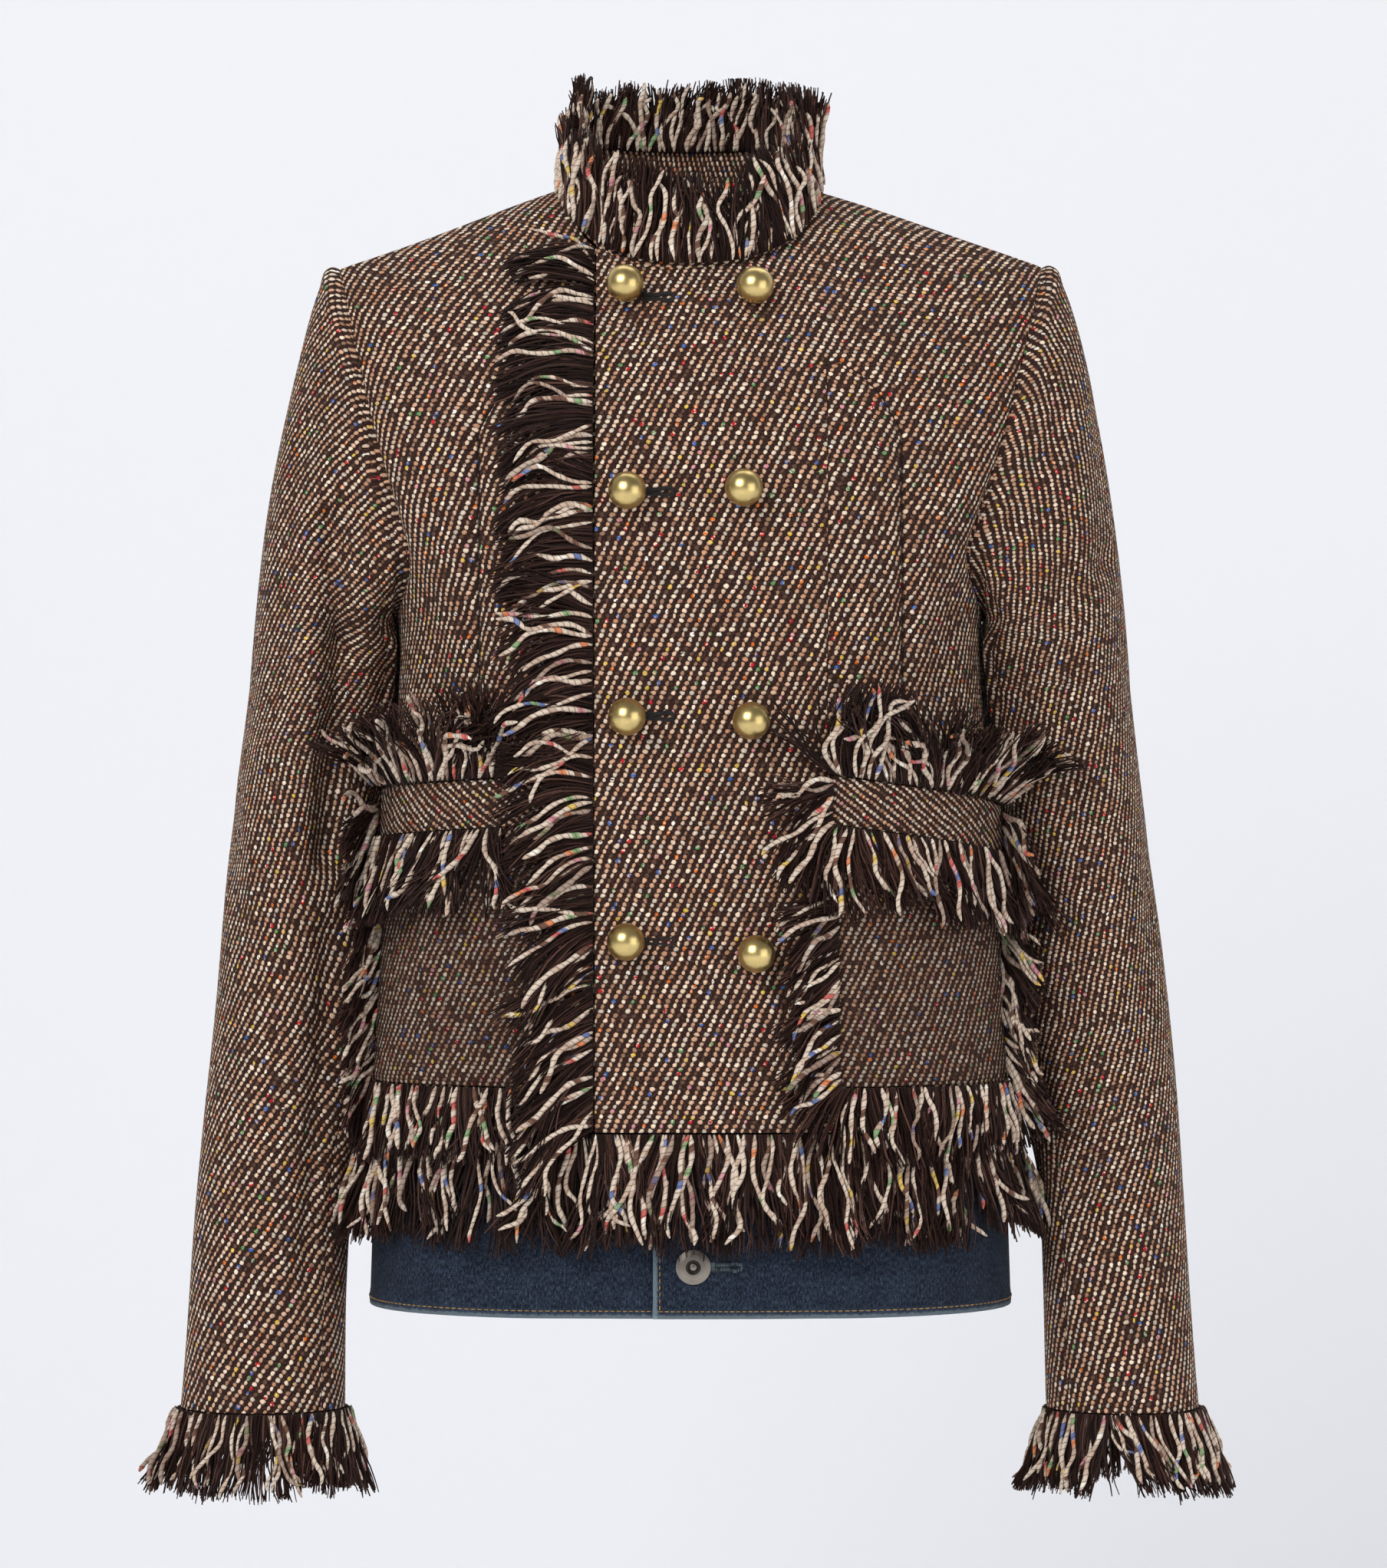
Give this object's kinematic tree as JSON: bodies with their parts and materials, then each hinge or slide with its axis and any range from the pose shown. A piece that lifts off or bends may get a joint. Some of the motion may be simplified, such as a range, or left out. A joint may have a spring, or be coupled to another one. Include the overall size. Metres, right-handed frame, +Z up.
{
  "type": "cropped tweed jacket",
  "caption": "Hollow worn-form cropped tweed jacket: double-breasted with ball buttons, fringed collar, lap edge, hem, cuffs, patch pockets and flaps, and an inner denim hem band.",
  "frame": {"origin": "middle of the neck opening, level with the neck ends of the shoulder seams", "axes": "+Z up, +X to the wearer's left, the wearer faces -Y"},
  "size_m": [0.5624, 0.2696, 0.7346],
  "materials": {
    "tweed": "chunky twill tweed, dark brown and oatmeal with coloured flecks, matt",
    "fringe": "loose dark brown yarn with thicker off-white twisted yarn, matt",
    "denim": "dark indigo denim with ochre topstitching, matt",
    "brass": "satin gilt",
    "pewter": "aged, satin"
  },
  "bodies": {
    "root": {"back": "tweed", "button_hole_row_1": "brass", "button_hole_row_2": "brass", "button_hole_row_3": "brass", "button_hole_row_4": "brass", "button_show_row_1": "brass", "button_show_row_2": "brass", "button_show_row_3": "brass", "button_show_row_4": "brass", "collar_stand": "tweed", "denim_band": "denim", "denim_button": "pewter", "flap_left": "tweed", "flap_right": "tweed", "fringe_collar": "fringe", "fringe_cuff_left": "fringe", "fringe_cuff_right": "fringe", "fringe_flap_left": "fringe", "fringe_flap_right": "fringe", "fringe_flap_top_left": "fringe", "fringe_flap_top_right": "fringe", "fringe_front_edge": "fringe", "fringe_hem": "fringe", "fringe_pocket_left": "fringe", "fringe_pocket_right": "fringe", "front_left": "tweed", "front_right": "tweed", "pocket_left": "tweed", "pocket_right": "tweed", "sleeve_under_left": "tweed", "sleeve_under_right": "tweed", "sleeve_upper_left": "tweed", "sleeve_upper_right": "tweed"}
  },
  "joints": []
}
